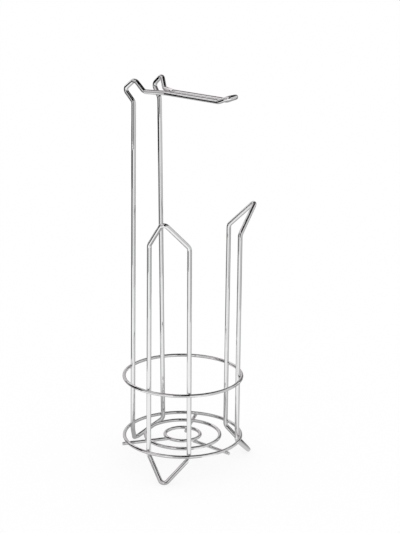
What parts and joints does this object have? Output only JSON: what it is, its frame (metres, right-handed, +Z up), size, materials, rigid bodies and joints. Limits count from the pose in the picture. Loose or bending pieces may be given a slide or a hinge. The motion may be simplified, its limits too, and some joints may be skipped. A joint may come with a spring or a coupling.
{
  "type": "toilet roll storage holder",
  "caption": "Free-standing chrome wire rack that stores a stack of toilet rolls between bent wire frames on a ring base and hangs the roll in use on a top arm.",
  "frame": {"origin": "on the floor, at the axis of the rings", "axes": "+Z up along the axis of the rings; +X from that axis the way the arm points; +Y to the left when looking along +X"},
  "size_m": [0.1834, 0.1714, 0.51],
  "materials": {
    "chrome": "polished"
  },
  "bodies": {
    "root": {"tall_frame": "chrome", "guard_left": "chrome", "guard_right": "chrome", "upper_ring": "chrome", "base_outer_ring": "chrome", "base_middle_ring": "chrome", "base_inner_ring": "chrome", "spoke_front": "chrome", "spoke_left": "chrome", "spoke_right": "chrome"}
  },
  "joints": []
}
